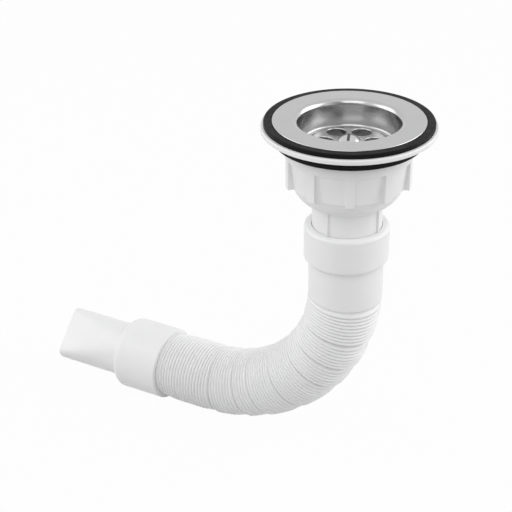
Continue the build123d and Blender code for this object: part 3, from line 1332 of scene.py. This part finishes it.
@dataclass
class OutletTail:
    """The outlet: a socket cuff over the hose's stub, and a spigot pressed towards two flats."""

    # Socket cuff
    cuff_r: float = 21.5
    cuff_len: float = 27.0
    cuff_soft: float = 0.45
    socket_r: float = 18.25
    socket_len: float = 20.0
    socket_soft: float = 0.4
    # Shoulder, and the foot of the spigot below it
    shoulder: float = 4.5
    shoulder_run: float = 1.9
    shoulder_soft: float = 2.4
    foot_out: float = 0.9
    foot_back: float = 0.3
    foot_soft: float = 0.8
    foot_run: float = 0.6
    foot_end_soft: float = 0.5
    # Spigot and its press
    spigot_r: float = 16.25
    wall: float = 2.0
    tip_soft: float = 0.7
    tip_half: float = 8.2
    flat_start: float = 3.0
    press_soft: float = 4.4
    roll: float = 45.0
    # Mesh
    columns: int = 160
    long_cuts: int = 40

    def build(self) -> None:
        """Turn the tail along the level run, then press its spigot."""
        low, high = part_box("outlet_tail")
        axis_z = (low.z + high.z) / 2
        length = (high.x - low.x) / MM
        neck = self.cuff_len + self.shoulder
        bore = self.spigot_r - self.wall
        bm = turned(
            [
                Corner(self.socket_r, 0.0, self.socket_soft),
                Corner(self.cuff_r, 0.0, self.cuff_soft),
                Corner(self.cuff_r, self.cuff_len + self.shoulder_run, self.shoulder_soft),
                Corner(self.spigot_r + self.foot_out, neck - self.foot_back, self.foot_soft),
                Corner(self.spigot_r, neck + self.foot_run, self.foot_end_soft),
                Corner(self.spigot_r, length, self.tip_soft),
                Corner(bore, length, self.tip_soft),
                Corner(bore, self.socket_len),
                Corner(self.socket_r, self.socket_len),
            ],
            self.columns,
            long_cuts=self.long_cuts,
        )
        along = Matrix.Translation((high.x, 0.0, axis_z)) @ Matrix.Rotation(-pi / 2, 4, "Y")
        bmesh.ops.transform(bm, matrix=along, verts=bm.verts)
        self.press(bm, high.x, axis_z, neck, length)
        bmesh.ops.recalc_face_normals(bm, faces=bm.faces)
        finished("tail_moulding", bm, WHITE_PLASTIC, "outlet_tail", crease=50.0)

    def press(self, bm: BMesh, mouth_x: float, axis_z: float, neck: float, length: float) -> None:
        """Press the spigot towards its two sloping flats, with soft edges.

        Args:
            bm: The tail.
            mouth_x: Where the tail starts, in metres.
            axis_z: Height of its axis, in metres.
            neck: Distance from the mouth to the spigot, in millimetres.
            length: Distance from the mouth to the tip, in millimetres.
        """
        roll = radians(self.roll)
        side = Vector((0.0, -sin(roll), cos(roll)))
        centre = Vector((0.0, 0.0, axis_z))
        start = neck + self.flat_start
        widest = self.spigot_r + self.press_soft
        for vert in bm.verts:
            run = (mouth_x - vert.co.x) / MM
            off = (vert.co - centre).dot(side) / MM
            ring_r = sqrt(vert.co.y ** 2 + (vert.co.z - axis_z) ** 2) / MM
            share = (run - start + self.press_soft) / (length - start)
            if share <= 0.0 or ring_r > self.spigot_r + NEAR:
                continue
            half = widest - (widest - self.tip_half) * share
            limit = half - (self.spigot_r - ring_r)
            pressed = self.soft_limit(abs(off), limit)
            vert.co += side * ((pressed - abs(off)) * MM * (1.0 if off > 0.0 else -1.0))

    def soft_limit(self, value: float, limit: float) -> float:
        """Hold a value under a limit, with a smooth knee.

        Args:
            value: The value.
            limit: What it may reach.

        Returns:
            The held value.
        """
        over = (value - limit) / self.press_soft
        if over <= -1.0:
            return value
        if over >= 1.0:
            return limit
        return value - self.press_soft * (over + 1.0) ** 2 / 4.0


@dataclass(frozen=True)
class Lamp:
    """A square soft lamp that faces the object, placed round the camera's line of sight.

    Attributes:
        name: Its name.
        side: Degrees round from the camera, to the right.
        rise: Degrees above the level.
        reach: Metres from the object.
        size: Width in metres.
        power: Watts.
    """

    name: str
    side: float
    rise: float
    reach: float
    size: float
    power: float


@dataclass
class Studio:
    """White floor, soft lamps and the camera at the photograph's angle."""

    # Camera
    eye: tuple[float, float, float] = (0.252174, -0.543425, 0.260792)
    azimuth: float = 29.486
    elevation: float = 28.729
    roll: float = -0.84
    lens: float = 90.0
    sensor: float = 36.0
    # Floor
    floor_size: float = 12.0
    floor_gap: float = 0.0005
    floor_tone: Tone = (0.62, 0.62, 0.62)
    white_share: float = 0.97
    # Surroundings and lamps
    ambient: float = 0.53
    room_share: float = 0.25
    room_edges: Range = (0.72, 0.97)
    middle: tuple[float, float, float] = (-0.06, 0.0, -0.09)
    lamps: tuple[Lamp, ...] = (
        Lamp("left_softbox", -95.0, 24.0, 1.4, 1.35, 7.6),
        Lamp("right_softbox", 95.0, 24.0, 1.4, 1.35, 10.8),
        Lamp("front_softbox", -10.0, 46.0, 1.3, 0.9, 4.2),
    )

    def build(self) -> None:
        """Set the stage, the lamps, the world and the camera."""
        self.build_floor()
        for lamp in self.lamps:
            self.hang(lamp)
        self.build_world()
        self.build_camera()
        bpy.context.scene.view_settings.view_transform = "Standard"

    def seen_plainly(self, tree: NodeTree) -> Socket:
        """A value of one for rays that show the background: seen directly, mirrored or through glass.

        Args:
            tree: The nodes to add to.

        Returns:
            The value socket.
        """
        path = tree.add("ShaderNodeLightPath")
        most = path.outputs["Is Camera Ray"]
        for name in ("Is Glossy Ray", "Is Transmission Ray"):
            either = tree.add("ShaderNodeMath", operation="MAXIMUM")
            tree.join(most, either.inputs[0])
            tree.join(path.outputs[name], either.inputs[1])
            most = either.outputs["Value"]
        return most

    def build_floor(self) -> None:
        """Lay a pale floor at the object's lowest point; it is seen nearly white and keeps the shadow."""
        bm = bmesh.new()
        bmesh.ops.create_grid(bm, x_segments=1, y_segments=1, size=self.floor_size / 2)
        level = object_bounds()[0].z - self.floor_gap
        bmesh.ops.translate(bm, verts=bm.verts, vec=(0.0, 0.0, level))
        floor = placed("studio_floor", bm)
        floor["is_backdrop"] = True
        paper = bpy.data.materials.new("white_paper")
        paper.use_nodes = True
        tree = NodeTree(paper.node_tree)
        matt = tree.add("ShaderNodeBsdfDiffuse", {"Color": (*self.floor_tone, 1.0)})
        white = tree.add("ShaderNodeEmission")
        share = tree.add("ShaderNodeMath", {1: self.white_share}, operation="MULTIPLY")
        tree.join(self.seen_plainly(tree), share.inputs[0])
        seen = tree.blend(share.outputs["Value"], matt.outputs["BSDF"], white.outputs["Emission"])
        output = tree.add("ShaderNodeOutputMaterial")
        tree.join(seen, output.inputs["Surface"])
        floor.data.materials.append(paper)

    def hang(self, lamp: Lamp) -> None:
        """Hang one lamp and turn it to the object.

        Args:
            lamp: The lamp.
        """
        turn = radians(self.azimuth + lamp.side)
        rise = radians(lamp.rise)
        away = Vector((sin(turn) * cos(rise), -cos(turn) * cos(rise), sin(rise)))
        light = bpy.data.lights.new(lamp.name, "AREA")
        light.shape = "SQUARE"
        light.size = lamp.size
        light.energy = lamp.power
        hung = bpy.data.objects.new(lamp.name, light)
        hung.location = Vector(self.middle) + away * lamp.reach
        hung.rotation_mode = "QUATERNION"
        hung.rotation_quaternion = (-away).to_track_quat("-Z", "Y")
        bpy.context.scene.collection.objects.link(hung)

    def build_world(self) -> None:
        """Make the surroundings white to the eye and dim as a light."""
        world = bpy.data.worlds.new("studio")
        world.use_nodes = True
        tree = NodeTree(world.node_tree)
        plain_white = (1.0, 1.0, 1.0, 1.0)
        fill = tree.add("ShaderNodeBackground", {"Color": plain_white, "Strength": self.ambient})
        white = tree.add("ShaderNodeBackground")
        tree.join(self.room_behind(tree), white.inputs["Color"])
        seen = tree.blend(self.seen_plainly(tree), fill.outputs["Background"], white.outputs["Background"])
        output = tree.add("ShaderNodeOutputWorld")
        tree.join(seen, output.inputs["Surface"])
        bpy.context.scene.world = world

    def ahead(self) -> Vector:
        """Work out the camera's viewing direction.

        Returns:
            The direction.
        """
        turn = radians(self.azimuth)
        rise = radians(self.elevation)
        return Vector((-sin(turn) * cos(rise), cos(turn) * cos(rise), -sin(rise)))

    def room_behind(self, tree: NodeTree) -> Socket:
        """Shade the white surroundings down behind the camera, where only the metal sees them.

        Args:
            tree: The world's nodes.

        Returns:
            The socket with the grey value.
        """
        look = tree.add("ShaderNodeNewGeometry")
        toward = tree.add("ShaderNodeVectorMath", {1: self.ahead()}, operation="DOT_PRODUCT")
        tree.join(look.outputs["Incoming"], toward.inputs[0])
        start, end = self.room_edges
        limits = {"From Min": start, "From Max": end, "To Min": 1.0, "To Max": self.room_share}
        share = tree.add("ShaderNodeMapRange", limits, interpolation_type="SMOOTHSTEP")
        tree.join(toward.outputs["Value"], share.inputs["Value"])
        return share.outputs["Result"]

    def build_camera(self) -> None:
        """Stand the camera where the photograph was taken from."""
        ahead = self.ahead()
        optics = bpy.data.cameras.new("camera")
        optics.lens = self.lens
        optics.sensor_width = self.sensor
        camera = bpy.data.objects.new("camera", optics)
        aim = ahead.to_track_quat("-Z", "Y").to_matrix() @ Matrix.Rotation(radians(self.roll), 3, "Z")
        camera.matrix_world = Matrix.LocRotScale(Vector(self.eye), aim.to_quaternion(), None)
        bpy.context.scene.collection.objects.link(camera)
        bpy.context.scene.camera = camera


def main() -> None:
    """Build the object from top to bottom, then its studio."""
    logging.basicConfig(level=logging.INFO, format="%(name)s %(message)s")
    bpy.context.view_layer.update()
    assemblies = (
        StrainerTop(), SinkClamp(), DrainCup(), InletCuff(), BellowsHose(), OutletTail(), Studio(),
    )
    for assembly in assemblies:
        LOG.info("building %s", type(assembly).__name__)
        assembly.build()


if __name__ == "__main__":
    main()
